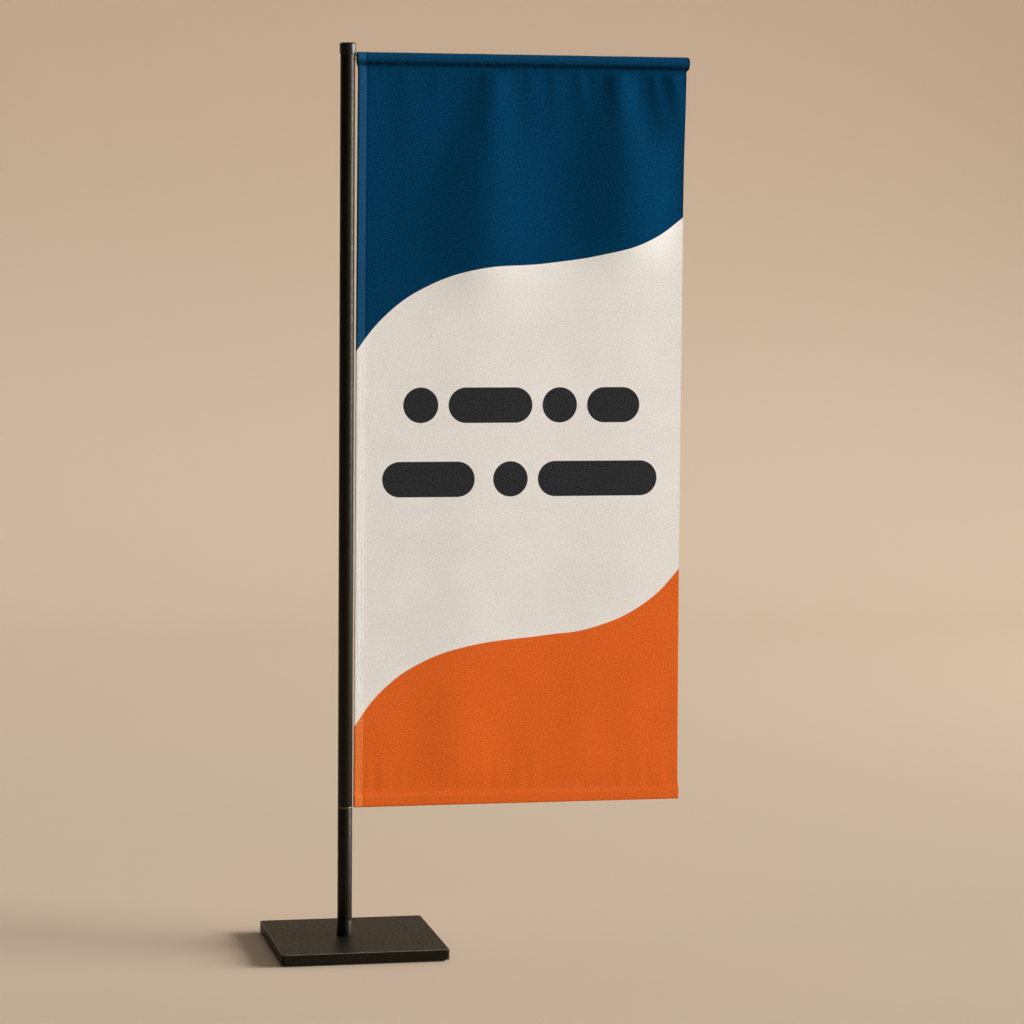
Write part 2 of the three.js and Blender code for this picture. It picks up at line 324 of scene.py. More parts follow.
def mast_coat():
    """The tube's coat, with faint lengthwise streaks from drawing the tube."""
    shader = coated_steel(
        "mast_coat",
        dark=(0.0030, 0.0026, 0.0018, 1),
        light=(0.0050, 0.0044, 0.0032, 1),
        gloss=0.18,
        grain=1900,
        grain_depth=0.015 * MM,
    )
    lengthwise = shader.stretched(shader.coordinates("Object"), (1400, 1400, 12))
    streaks = shader.noise(lengthwise, 1.0, 2)
    under = shader.surface.inputs["Normal"].links[0].from_socket
    shader.set("Normal", shader.bump(streaks, 0.014 * MM, 0.8, under))
    return shader.material


def moulded_plastic(name, colour, pale, roughness):
    """A moulded cap: nearly even, with a faint satin grain."""
    shader = Shader(name, {"Specular IOR Level": 0.25})
    place = shader.coordinates("Object")
    shader.set("Base Color", shader.mix(shader.noise(place, 150), colour, pale))
    finish = shader.spread(shader.noise(place, 500), roughness - 0.04, roughness + 0.04)
    shader.set("Roughness", finish)
    grain = shader.bump(shader.noise(place, 2600, 1), 0.008 * MM, 0.7)
    shader.set("Normal", grain)
    return shader.material


def foam_pad():
    """Closed-cell foam sheet with fine pores."""
    shader = Shader("pad_foam", {"Roughness": 0.9})
    place = shader.coordinates("Object")
    cells = shader.node("ShaderNodeTexVoronoi", {"Vector": place, "Scale": 1800.0})
    tone = shader.mix(cells.outputs["Distance"], (0.010, 0.010, 0.010, 1), (0.022, 0.022, 0.021, 1))
    shader.set("Base Color", tone)
    pores = shader.bump(cells.outputs["Distance"], 0.08 * MM, 0.7)
    shader.set("Normal", pores)
    return shader.material


def turned_metal(name, dark, light, roughness, stretch):
    """Bare metal with machining lines, finest across the given stretch."""
    shader = Shader(name, {"Metallic": 1.0})
    lines = shader.noise(shader.stretched(shader.coordinates("Object"), stretch), 1.0, 3, 0.6)
    tone = shader.mix(lines, dark, light)
    shader.set("Base Color", tone)
    finish = shader.spread(lines, roughness - 0.06, roughness + 0.08)
    shader.set("Roughness", finish)
    shader.set("Normal", shader.bump(lines, 0.01 * MM, 0.6))
    return shader.material


# Meshes

SMOOTH_BELOW = 32
SLAB_CORNER_STEPS = 8
SLAB_RIM_STEPS = 5


def make_object(name, points, faces, materials, smooth_below=None):
    mesh = bpy.data.meshes.new(name)
    mesh.from_pydata([tuple(point) for point in points], [], faces)
    for material in materials:
        mesh.materials.append(material)
    if smooth_below is not None:
        mesh.shade_smooth()
        mesh.set_sharp_from_angle(angle=math.radians(smooth_below))
    made = bpy.data.objects.new(name, mesh)
    scene.collection.objects.link(made)
    return made


def apply_modifiers(piece):
    """Puts the modifiers' result into the piece's own mesh."""
    evaluated = piece.evaluated_get(bpy.context.evaluated_depsgraph_get())
    mesh = bpy.data.meshes.new_from_object(evaluated)
    piece.modifiers.clear()
    piece.data = mesh


def fillet(outline, radii, steps):
    """Rounds the corners of a closed outline; a radius of 0 leaves a corner sharp."""
    rounded = []
    count = len(outline)
    for i, (corner, radius) in enumerate(zip(outline, radii)):
        corner = np.array(corner, float)
        if radius == 0:
            rounded.append(tuple(corner))
            continue
        before = np.array(outline[i - 1], float) - corner
        after = np.array(outline[(i + 1) % count], float) - corner
        before /= np.linalg.norm(before)
        after /= np.linalg.norm(after)
        half = math.acos(float(np.clip(before @ after, -1, 1))) / 2
        cut = radius / math.tan(half)
        bisector = before + after
        centre = corner + bisector / np.linalg.norm(bisector) * radius / math.sin(half)
        start = corner + before * cut - centre
        end = corner + after * cut - centre
        for step in range(steps + 1):
            share = step / steps
            sweep = math.pi - 2 * half
            blend = math.sin((1 - share) * sweep) * start + math.sin(share * sweep) * end
            rounded.append(tuple(centre + blend / math.sin(sweep)))
    return rounded


def revolved(name, profile, material, sides=96, along="Z", centre_z=0.0):
    """A closed [radius, height] outline turned about +Z, or about a line along +X at centre_z."""
    rings = []
    points = []
    for radius, height in profile:
        start = len(points)
        around = 1 if radius < 1e-9 else sides
        for k in range(around):
            angle = 2 * math.pi * k / sides
            a, b = radius * math.cos(angle), radius * math.sin(angle)
            points.append((a, b, height) if along == "Z" else (height, a, centre_z + b))
        rings.append((start, around))
    faces = []
    for (low, low_count), (high, high_count) in zip(rings, rings[1:] + rings[:1]):
        if low_count == high_count == 1:
            continue
        for k in range(sides):
            n = (k + 1) % sides
            corners = [low + k % low_count, low + n % low_count]
            corners += [high + n % high_count, high + k % high_count]
            faces.append(list(dict.fromkeys(corners)))
    made = make_object(name, points, faces, [material], SMOOTH_BELOW)
    face_outwards(made)
    return made


def face_outwards(piece):
    """Makes a closed piece's faces look outwards."""
    work = bmesh.new()
    work.from_mesh(piece.data)
    bmesh.ops.recalc_face_normals(work, faces=work.faces)
    work.to_mesh(piece.data)
    work.free()


def tube(name, node, bore, material, edge):
    """A round tube where the CAD node stands, with softly broken edges."""
    low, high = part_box(node)
    radius = (high.x - low.x) / 2
    outline = [(bore, low.z), (radius, low.z), (radius, high.z), (bore, high.z)]
    return revolved(name, fillet(outline, [edge] * 4, 3), material)


def rounded_slab(name, node, corner, edge, material):
    """A square slab where the CAD node lies, its upright corners and its rims rounded."""
    low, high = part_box(node)
    centre = (low + high) / 2
    half = (high.x - low.x) / 2
    levels = []
    for turn in range(SLAB_RIM_STEPS + 1):
        angle = math.radians(90) * turn / SLAB_RIM_STEPS
        inset = edge * (1 - math.sin(angle))
        levels.append((low.z + edge * (1 - math.cos(angle)), inset))
    levels += [(high.z + low.z - z, inset) for z, inset in reversed(levels)]
    points = []
    for z, inset in levels:
        for quarter in range(4):
            for step in range(SLAB_CORNER_STEPS + 1):
                angle = math.radians(90) * (quarter + step / SLAB_CORNER_STEPS)
                reach = corner - inset
                flat = half - corner
                sign_x = 1 if quarter in (0, 3) else -1
                sign_y = 1 if quarter in (0, 1) else -1
                x = centre.x + sign_x * flat + reach * math.cos(angle)
                y = centre.y + sign_y * flat + reach * math.sin(angle)
                points.append((x, y, z))
    count = 4 * (SLAB_CORNER_STEPS + 1)
    faces = [tuple(range(count))[::-1]]
    for level in range(len(levels) - 1):
        for k in range(count):
            n = (k + 1) % count
            base = level * count
            faces.append((base + k, base + n, base + count + n, base + count + k))
    faces.append(tuple(range((len(levels) - 1) * count, len(levels) * count)))
    return make_object(name, points, faces, [material], SMOOTH_BELOW)


def cut_away(piece, cutter):
    """Takes the cutter's shape out of the piece, and throws the cutter away."""
    cut = piece.modifiers.new("cut", "BOOLEAN")
    cut.operation = "DIFFERENCE"
    cut.solver = "EXACT"
    cut.object = cutter
    apply_modifiers(piece)
    bpy.data.objects.remove(cutter)


def even_shading(piece):
    """Keeps large flat faces flat beside their rounded rims."""
    weighted = piece.modifiers.new("even_shading", "WEIGHTED_NORMAL")
    weighted.keep_sharp = True


# Foot and mast

PLATE_CORNER = 1.5 * MM
PLATE_RIM = 0.3 * MM
PAD_RIM = 0.2 * MM
TUBE_BORE = 2.7 * MM
COLLAR_BORE = 3.55 * MM
COLLAR_TOP = 3.65 * MM
TUBE_EDGE = 0.12 * MM
CAP_CROWN = 1.0 * MM
CAP_TOP = 0.8 * MM
ARM_HOLE = 1.65 * MM
SCREW_SEAT = 3.1 * MM
SCREW_HOLE = 1.6 * MM
CUT_PAST = 1.0 * MM
PIN_RADIUS = 2.6 * MM
PIN_TIP = 0.6 * MM
FLANGE_PLAY = 0.02 * MM
ARM_NECK = 1.5 * MM
ARM_TIP = 1.3 * MM
ARM_CAP_BORE = 1.35 * MM


def place_piece(piece, body, slot, *nodes):
    """The piece stands for those nodes and moves with that body."""
    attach(piece, body)
    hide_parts(*nodes)


def make_foot():
    plate = rounded_slab("foot_plate", "base_plate", PLATE_CORNER, PLATE_RIM, plate_coat())
    low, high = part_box("base_plate")
    under, over = low.z - CUT_PAST, high.z + CUT_PAST
    outline = [(0, under), (SCREW_SEAT, under), (SCREW_SEAT, low.z)]
    outline += [(SCREW_HOLE, low.z + SCREW_SEAT - SCREW_HOLE), (SCREW_HOLE, over), (0, over)]
    cut_away(plate, revolved("screw_hole", outline, plate.data.materials[0], 48))
    even_shading(plate)
    place_piece(plate, "stand", "plate_coat", "base_plate")
    pad = rounded_slab("foot_pad", "non_slip_pad", PLATE_CORNER, PAD_RIM, foam_pad())
    place_piece(pad, "stand", "pad_foam", "non_slip_pad")


def make_mast():
    coat = mast_coat()
    collar = make_collar(coat)
    place_piece(collar, "stand", "mast_coat", "foot_collar")
    lower = tube("lower_tube", "lower_pole", TUBE_BORE, coat, TUBE_EDGE)
    place_piece(lower, "stand", "mast_coat", "lower_pole")
    upper = tube("upper_tube", "upper_pole", TUBE_BORE, coat, TUBE_EDGE)
    arm_low, arm_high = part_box("banner_arm")
    arm_z = (arm_low.z + arm_high.z) / 2
    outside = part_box("upper_pole")[1].x * 1.4
    outline = [(0, 0), (ARM_HOLE, 0), (ARM_HOLE, outside), (0, outside)]
    cut_away(upper, revolved("arm_hole", outline, coat, 40, "X", arm_z))
    place_piece(upper, "mast", "mast_coat", "upper_pole")
    make_cap()
    make_pin()


def make_collar(coat):
    """The collar at the mast's foot, which narrows upwards to little more than the tube."""
    low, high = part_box("foot_collar")
    outline = [(COLLAR_BORE, low.z), (high.x, low.z), (COLLAR_TOP, high.z), (COLLAR_BORE, high.z)]
    return revolved("foot_ferrule", fillet(outline, [0.0, 0.12 * MM, 0.04 * MM, 0.0], 4), coat)


def make_cap():
    low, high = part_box("top_cap")
    radius = high.x
    ceiling = high.z - CAP_TOP
    outline = [(0, ceiling), (COLLAR_BORE, ceiling), (COLLAR_BORE, low.z)]
    outline += [(radius, low.z), (radius, high.z), (0, high.z)]
    rounds = [0, 0.2 * MM, 0.1 * MM, 0.15 * MM, CAP_CROWN, 0]
    dark, pale = (0.003, 0.003, 0.0025, 1), (0.008, 0.0075, 0.007, 1)
    plastic = moulded_plastic("cap_plastic", dark, pale, roughness=0.32)
    cap = revolved("mast_cap", fillet(outline, rounds, 6), plastic)
    place_piece(cap, "mast", "cap_plastic", "top_cap")


def make_pin():
    """The joint's loose pin. Its thin flange is the ring that shows between the two tubes."""
    low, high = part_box("coupling_pin")
    flange_radius = high.x
    flange_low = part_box("lower_pole")[1].z + FLANGE_PLAY
    flange_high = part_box("upper_pole")[0].z - FLANGE_PLAY
    outline = [(0, low.z), (PIN_RADIUS, low.z), (PIN_RADIUS, flange_low)]
    outline += [(flange_radius, flange_low), (flange_radius, flange_high)]
    outline += [(PIN_RADIUS, flange_high), (PIN_RADIUS, high.z), (0, high.z)]
    rounds = [0, PIN_TIP, 0, 0.1 * MM, 0.1 * MM, 0, PIN_TIP, 0]
    dark, light = (0.13, 0.10, 0.07, 1), (0.22, 0.18, 0.13, 1)
    steel = turned_metal("bare_steel", dark, light, roughness=0.38, stretch=(60, 60, 4000))
    pin = revolved("joint_ring_pin", fillet(outline, rounds, 3), steel)
    place_piece(pin, "joint_pin", "bare_steel", "coupling_pin")


def make_arm():
    """The rod in the banner's sleeve, with its thin neck in the mast and a thin tip in its end cap."""
    low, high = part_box("banner_arm")
    arm_z = (low.z + high.z) / 2
    radius = (high.z - low.z) / 2
    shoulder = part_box("top_cap")[1].x + 0.1 * MM
    tip_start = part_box("arm_end_cap")[0].x - 0.05 * MM
    outline = [(0, low.x), (ARM_NECK, low.x), (ARM_NECK, shoulder), (radius, shoulder)]
    outline += [(radius, tip_start), (ARM_TIP, tip_start), (ARM_TIP, high.x), (0, high.x)]
    rounds = [0, 0.2 * MM, 0, 0.15 * MM, 0.1 * MM, 0, 0.2 * MM, 0]
    dark, light = (0.36, 0.34, 0.31, 1), (0.52, 0.50, 0.46, 1)
    steel = turned_metal("drawn_steel", dark, light, roughness=0.3, stretch=(12, 3000, 3000))
    arm = revolved("arm_rod", fillet(outline, rounds, 3), steel, 48, "X", arm_z)
    place_piece(arm, "arm", "bare_steel", "banner_arm")
    make_arm_cap(radius, arm_z, high.x + 0.1 * MM)


def make_arm_cap(radius, arm_z, bore_end):
    low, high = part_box("arm_end_cap")
    outline = [(0, bore_end), (ARM_CAP_BORE, bore_end), (ARM_CAP_BORE, low.x), (radius, low.x)]
    outline += [(radius, high.x), (0, high.x)]
    rounds = [0, 0, 0, 0.1 * MM, 0.7 * MM, 0]
    dark, pale = (0.014, 0.014, 0.014, 1), (0.022, 0.022, 0.021, 1)
    vinyl = moulded_plastic("end_cap_vinyl", dark, pale, roughness=0.5)
    cap = revolved("arm_tip_cap", fillet(outline, rounds, 5), vinyl, 48, "X", arm_z)
    place_piece(cap, "arm", "end_cap_vinyl", "arm_end_cap")


def finish_hidden_parts():
    """The CAD nodes that stay inside the others get their own metals."""
    dark, light = (0.42, 0.43, 0.43, 1), (0.62, 0.62, 0.60, 1)
    zinc = turned_metal("zinc_steel", dark, light, roughness=0.38, stretch=(700, 700, 2500))
    dark, light = (0.55, 0.55, 0.54, 1), (0.70, 0.70, 0.69, 1)
    aluminium = turned_metal("plain_aluminium", dark, light, roughness=0.36, stretch=(60, 60, 3500))
    metals = {"base_screw": zinc, "hem_bar": zinc, "foot_insert": aluminium, "arm_block": aluminium}
    for node, metal in metals.items():
        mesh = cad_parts[node].data
        mesh.materials.clear()
        mesh.materials.append(metal)


# Banner print, in cloth coordinates: metres across from the mast-side edge and down from the seam.
# The UV map holds them divided by CLOTH_SPAN, and leaves UV_ABOVE_SEAM for the cloth above the seam.

CLOTH_SPAN = 0.4
UV_ABOVE_SEAM = 0.1
# The waves' upper edges: place across, and depth below the seam (mm).
BLUE_EDGE = (
    (0, 135), (16, 116), (34, 104), (57, 96), (92, 92.7), (120, 88.4), (142, 82), (160, 70),
)
ORANGE_EDGE = (
    (0, 315), (15, 296), (34, 283.5), (55, 276.7), (92, 272), (115, 269), (142, 257.4), (160, 240),
)
BLUE = (0.0006, 0.0435, 0.114, 1)
WHITE = (0.868, 0.870, 0.885, 1)
ORANGE = (0.79, 0.118, 0.008, 1)
# The same prints where the cloth lies double (and faintly, as a painted sheen, on the sleeve), and the darker
# blue painted as shade along its edges.
BLUE_DOUBLED = (0.0085, 0.083, 0.198, 1)
WHITE_DOUBLED = (0.96, 0.95, 0.93, 1)
ORANGE_DOUBLED = (0.92, 0.190, 0.035, 1)
BLUE_EDGE_SHADE = (0.0015, 0.014, 0.052, 1)
CHARCOAL = (0.030, 0.033, 0.037, 1)
# Rows of plain rounded marks: depth below the seam, and each mark's two ends across the cloth (mm).
MARK_ROWS = (
    (160.5, ((23, 40), (45, 86), (91, 108), (113, 139))),
    (196.0, ((13, 58), (67, 84), (89, 148))),
)
MARK_HALF_HEIGHT = 8.5 * MM
EDGE_SOFTNESS = 0.12 * MM


def cloth_coordinates(shader):
    """The cloth's UV map, and the distances across and down that it holds."""
    flat = shader.coordinates("UV")
    u, v, _ = shader.axes(flat)
    across = shader.times(u, CLOTH_SPAN)
    down = shader.times(shader.minus(v, UV_ABOVE_SEAM), CLOTH_SPAN)
    return flat, across, down


def wave(shader, across, edge):
    """How far down the cloth a printed wave lies, at each place across it."""
    made = shader.node("ShaderNodeFloatCurve")
    curve = made.mapping.curves[0]
    points = [(x * MM / CLOTH_SPAN, y * MM / CLOTH_SPAN) for x, y in edge]
    for (x, y), point in zip(points[:1] + points[-1:], curve.points):
        point.location = (x, y)
    for x, y in points[1:-1]:
        curve.points.new(x, y)
    made.mapping.update()
    shader.put(made.inputs["Value"], shader.math("DIVIDE", across, CLOTH_SPAN))
    return shader.times(made.outputs["Value"], CLOTH_SPAN)


def capsule(shader, across, down, left, right, middle):
    """The distance from a rounded bar's centre line."""
    nearest = shader.math("MINIMUM", shader.math("MAXIMUM", across, left), right)
    aside = shader.minus(across, nearest)
    below = shader.minus(down, middle)
    squares = [shader.times(side, side) for side in (aside, below)]
    return shader.math("SQRT", shader.plus(*squares))


def outside_marks(shader, across, down):
    """0 on the two rows of plain rounded shapes, 1 beside them."""
    shapes = []
    for middle, marks in MARK_ROWS:
        for start, end in marks:
            left, right = start * MM + MARK_HALF_HEIGHT, end * MM - MARK_HALF_HEIGHT
            shapes.append(capsule(shader, across, down, left, right, middle * MM))
    nearest = shapes[0]
    for shape in shapes[1:]:
        nearest = shader.math("MINIMUM", nearest, shape)
    return shader.step(nearest, MARK_HALF_HEIGHT - EDGE_SOFTNESS, MARK_HALF_HEIGHT + EDGE_SOFTNESS)


def printed_colour(shader, across, down, doubled=0.0, rim=0.0):
    """Blue above, white between, orange below; doubled is how far the doubled tones take over, rim the
    painted edge shade.
    """
    above_blue = shader.minus(down, wave(shader, across, BLUE_EDGE))
    above_orange = shader.minus(down, wave(shader, across, ORANGE_EDGE))
    past_blue = shader.step(above_blue, -EDGE_SOFTNESS, EDGE_SOFTNESS)
    past_orange = shader.step(above_orange, -EDGE_SOFTNESS, EDGE_SOFTNESS)
    blue = shader.mix(rim, shader.mix(doubled, BLUE, BLUE_DOUBLED), BLUE_EDGE_SHADE)
    white = shader.mix(doubled, WHITE, WHITE_DOUBLED)
    orange = shader.mix(doubled, ORANGE, ORANGE_DOUBLED)
    colour = shader.mix(past_orange, shader.mix(past_blue, blue, white), orange)
    return shader.mix(outside_marks(shader, across, down), CHARCOAL, colour)


# Banner cloth material

THREAD_PITCH = 0.25 * MM
WEAVE_DEPTH = 0.05 * MM
MOTTLE = 0.58
# Dark prints show the yarn's unevenness more than pale ones: the mottle goes by this power of paleness.
MOTTLE_POWER = -0.48
FLECKS = 1.6
FLECK_COLOUR = (1.0, 0.85, 0.40, 1)
FADED_PRINT = (0.72, 0.70, 0.67, 1)
HATCH_PITCH = 1.5 * MM
HATCH_SLANT = 0.7
SLEEVE_UPPER_FOLD = -7.8 * MM
# How far the painted sheen makes the sleeve paler.
PAINTED_SLEEVE_SHEEN = 0.2
# How much of the painted seam shade falls beside the side hem.
SIDE_SHARE = 0.22
# How far the painted edge shade takes the blue over.
EDGE_SHADE_SHARE = 0.8
SEAM_SHADE = 0.55


def weave(shader, across, down):
    """A plain weave's height: warp and weft threads that pass over each other in turn."""
    turns = []
    for distance in (across, down):
        angle = shader.times(distance, math.pi / THREAD_PITCH)
        turns.append(shader.math("SINE", angle))
    warp, weft = (shader.math("ABSOLUTE", turn) for turn in turns)
    over = shader.math("GREATER_THAN", shader.times(*turns), 0.0)
    raised = shader.times(warp, over)
    lowered = shader.times(weft, shader.minus(1.0, over))
    return shader.plus(raised, lowered)


def seam_shade(shader, across, down, patches):
    """Painted shade: darkens the cloth in patches where it is drawn in along the stitches of the sleeve and
    the side hem.
    """
    at_sleeve = shader.band(down, -1.3 * MM, 0.5 * MM, 2.2 * MM)
    at_strip = shader.band(across, LEFT_HEM + 0.2 * MM, 0.1 * MM, 0.45 * MM)
    at_strip = shader.times(at_strip, SIDE_SHARE)
    crease_shade = shader.math("MAXIMUM", at_sleeve, at_strip)
    patchy = shader.times(crease_shade, shader.spread(patches, 0.45, 1.3))
    return shader.minus(1.0, shader.times(patchy, SEAM_SHADE))


def doubled_cloth_and_sleeve_sheen(shader, across, down, flat):
    """Where the side hem lies under the panel, its edge a little uneven; and faintly on the sleeve, as a
    painted sheen.
    """
    ragged = shader.spread(shader.noise(flat, 420, 2), -0.15 * MM, 0.15 * MM)
    from_fold = shader.math("ABSOLUTE", across)
    edge = shader.plus(from_fold, ragged)
    within = shader.step(edge, LEFT_HEM + 0.05 * MM, LEFT_HEM - 0.35 * MM)
    strip = shader.times(within, shader.step(from_fold, 0.2 * MM, 1.3 * MM))
    # Painted sheen: the sleeve a little paler, in the doubled cloth's tones.
    sleeve = shader.times(shader.step(down, -1.0 * MM, -2.5 * MM), PAINTED_SLEEVE_SHEEN)
    return shader.math("MAXIMUM", strip, sleeve)


def edge_shade_and_dashes(shader, across, down):
    """Painted shade along folds, a darker free edge, and dark dashes by the side hem's thread."""
    free_edge = banner_sizes()["width"]
    at_fold = shader.band(across, 0.0, 0.35 * MM, 0.7 * MM)
    at_free = shader.band(across, free_edge, 0.4 * MM, 0.8 * MM)
    at_top = shader.band(down, SLEEVE_UPPER_FOLD, 0.2 * MM, 0.8 * MM)
    slant = shader.plus(down, shader.times(across, HATCH_SLANT))
    turn = shader.math("FRACT", shader.math("DIVIDE", slant, HATCH_PITCH))
    dashes = shader.band(turn, 0.5, 0.18, 0.34)
    beside_hem = shader.band(across, LEFT_HEM + 0.3 * MM, 0.3 * MM, 0.65 * MM)
    hatch = shader.times(dashes, beside_hem)
    tone = at_top
    for part in (at_fold, at_free, hatch):
        tone = shader.math("MAXIMUM", tone, part)
    return shader.times(tone, EDGE_SHADE_SHARE)


def uneven_dye(shader, flat, colour, paleness, mottle):
    """Small warm flecks, strongest in the vivid prints, over slubs, mottle and faint blotches."""
    flecks = shader.spread(shader.noise(flat, 720, 1), 0.0, FLECKS)
    vivid = shader.minus(1.0, paleness)
    vivid = shader.times(vivid, shader.times(paleness, paleness))
    colour = shader.mix(shader.times(flecks, vivid), colour, FLECK_COLOUR)
    slubs = shader.noise(shader.stretched(flat, (900, 260, 1)), 1.0, 2)
    blotch = shader.noise(flat, 16, 2)
    contrast = shader.times(shader.math("POWER", paleness, MOTTLE_POWER), MOTTLE)
    uneven = shader.times(shader.minus(mottle, 0.5), contrast)
    shade = shader.plus(uneven, 1.0)
    shade = shader.times(shader.spread(slubs, 0.96, 1.04), shade)
    return colour, shader.times(shade, shader.spread(blotch, 0.98, 1.02))


def cloth_material(name, fade):
    """Woven polyester, printed on one face; fade is how far the print has paled."""
    shader = Shader(
        name,
        {
            "Roughness": 0.85,
            "Specular IOR Level": 0.0,
            "Sheen Weight": 0.03,
            "Sheen Roughness": 0.4,
            "Sheen Tint": (0.7, 0.86, 1.0, 1),
        },
    )
    flat, across, down = cloth_coordinates(shader)
    doubled = doubled_cloth_and_sleeve_sheen(shader, across, down, flat)
    # The print, with painted shade along its edges and folds.
    colour = printed_colour(shader, across, down, doubled, edge_shade_and_dashes(shader, across, down))
    colour = shader.mix(fade, colour, FADED_PRINT)
    paleness = shader.node("ShaderNodeRGBToBW", {"Color": colour}).outputs["Val"]
    mottle = shader.noise(flat, 600, 2, 0.6)
    colour, shade = uneven_dye(shader, flat, colour, paleness, mottle)
    # Patches of the painted shade along the seams.
    patches = shader.noise(flat, 210, 2, 0.6)
    shade = shader.times(shade, seam_shade(shader, across, down, patches))
    grey = shader.node("ShaderNodeCombineColor", {"Red": shade, "Green": shade, "Blue": shade})
    colour = shader.mix(1.0, colour, grey.outputs["Color"], "MULTIPLY")
    shader.set("Base Color", colour)
    relief = shader.bump(mottle, WEAVE_DEPTH, 0.6)
    relief = shader.bump(weave(shader, across, down), WEAVE_DEPTH, 0.6, relief)
    shader.set("Normal", relief)
    return shader.material


# Banner shape

CLOTH = 0.24 * MM
LEFT_HEM = 4.5 * MM
FLAP = 2.2 * MM
HEM_FLAP = 1.2 * MM
SLEEVE_TURN = 15.9 * MM
LAYER_GAP = 0.27 * MM
FOLD_RADIUS = 0.28 * MM
FOLD_PRESSED = 2.2 * MM
SLEEVE_TOP = 7.9 * MM
SLEEVE_EASE = 0.18 * MM
SLEEVE_STEPS = 40
SEAM_BACK = 0.16 * MM
SEAM_FRONT = -0.12 * MM
POCKET_HALF = 0.72 * MM
POCKET_STEPS = 12
FINE_STEP = 0.1 * MM
SOFTEN_SPAN = 5
SOFTEN_PASSES = 3
ROW_STEP_AT_FOLDS = 0.5 * MM
ROW_STEP_BESIDE = 0.9 * MM
ROW_STEP = 2.8 * MM
BESIDE_SEAM = 9 * MM
BESIDE_HEM = 6 * MM


def banner_sizes():
    """The banner's own measures, read from the CAD nodes it stands for."""
    sleeve_low, sleeve_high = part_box("top_sleeve")
    panel_low, panel_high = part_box("banner_panel")
    hem_low, hem_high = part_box("bottom_hem")
    arm_low, arm_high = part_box("banner_arm")
    return {
        "sleeve_left": sleeve_low.x,
        "sleeve_right": sleeve_high.x,
        "left": panel_low.x,
        "right": panel_high.x,
        "width": panel_high.x - panel_low.x,
        "top": sleeve_high.z,
        "seam": panel_high.z,
        "hem_top": panel_low.z,
        "bottom": hem_low.z,
        "hem_left": hem_low.x,
        "hem_right": hem_high.x,
        "arm_z": (arm_low.z + arm_high.z) / 2,
    }


def centre_line(sizes):
    """The cloth's path from the flap behind the seam, over the arm, down to the hem and back up.

    Returns rows of (y, z) and the index of the seam on the front.
    """
    radius = sizes["top"] - sizes["arm_z"] - CLOTH / 2 + SLEEVE_EASE
    drop = sizes["arm_z"] - sizes["seam"]
    tangent = math.acos(radius / drop)
    path = [(LAYER_GAP, sizes["seam"] - FLAP), (SEAM_BACK, sizes["seam"])]
    for turn in range(SLEEVE_STEPS + 1):
        angle = tangent + (2 * math.pi - 2 * tangent) * turn / SLEEVE_STEPS
        path.append((radius * math.sin(angle), sizes["arm_z"] - radius * math.cos(angle)))
    path.append((SEAM_FRONT, sizes["seam"]))
    seam_mark = len(path) - 1
    path.append((0.0, sizes["seam"] - 1.5 * MM))
    path.append((0.0, sizes["hem_top"] + 1.5 * MM))
    path.append((-0.10 * MM, sizes["hem_top"]))
    pocket_top = sizes["hem_top"] - 1.6 * MM
    path.append((-POCKET_HALF, pocket_top))
    bottom_centre = sizes["bottom"] + POCKET_HALF + CLOTH / 2
    for turn in range(POCKET_STEPS + 1):
        angle = math.pi * turn / POCKET_STEPS
        sideways, downwards = POCKET_HALF * math.cos(angle), POCKET_HALF * math.sin(angle)
        path.append((-sideways, bottom_centre - downwards))
    path.append((POCKET_HALF, pocket_top))
    path.append((0.20 * MM, sizes["hem_top"]))
    path.append((LAYER_GAP, sizes["hem_top"] + HEM_FLAP))
    return np.array(path), seam_mark


def resampled(path, seam_mark):
    """The path at even small steps, softened, then thinned where it is straight."""
    lengths = np.concatenate([[0], np.cumsum(np.linalg.norm(np.diff(path, axis=0), axis=1))])
    fine = np.arange(0, lengths[-1], FINE_STEP)
    line = np.stack([np.interp(fine, lengths, path[:, k]) for k in (0, 1)], axis=1)
    kernel = np.ones(SOFTEN_SPAN) / SOFTEN_SPAN
    margin = SOFTEN_SPAN // 2
    for _ in range(SOFTEN_PASSES):
        padded = np.pad(line, ((margin, margin), (0, 0)), mode="reflect", reflect_type="odd")
        line = np.stack([np.convolve(padded[:, k], kernel, "valid") for k in (0, 1)], axis=1)
    distance = fine - lengths[seam_mark]
    panel_end = lengths[seam_mark] + np.abs(path[seam_mark + 2, 1] - path[seam_mark, 1])
    wanted = [0.0]
    while wanted[-1] < fine[-1]:
        at = wanted[-1] - lengths[seam_mark]
        left = panel_end - wanted[-1]
        if at < 0 or left < 0:
            step = ROW_STEP_AT_FOLDS
        elif at < BESIDE_SEAM or left < BESIDE_HEM:
            step = ROW_STEP_BESIDE
        else:
            step = ROW_STEP
        wanted.append(wanted[-1] + step)
    wanted[-1] = fine[-1]
    rows = np.array(wanted)
    line = np.stack([np.interp(rows, fine, line[:, k]) for k in (0, 1)], axis=1)
    return line, np.interp(rows, fine, distance)


def fold_columns(width):
    """Places across the cloth, from the turned-back edge (negative) to the free edge, closest at the fold."""
    turned = np.linspace(-LEFT_HEM, -0.75 * MM, 7)
    fold = np.linspace(-0.48 * MM, 0.48 * MM, 8)
    beside = np.linspace(0.9 * MM, LEFT_HEM + 1.5 * MM, 9)
    rest = np.linspace(LEFT_HEM + 2.3 * MM, width - 0.6 * MM, 186)
    return np.concatenate([turned, fold, beside, rest, [width]])


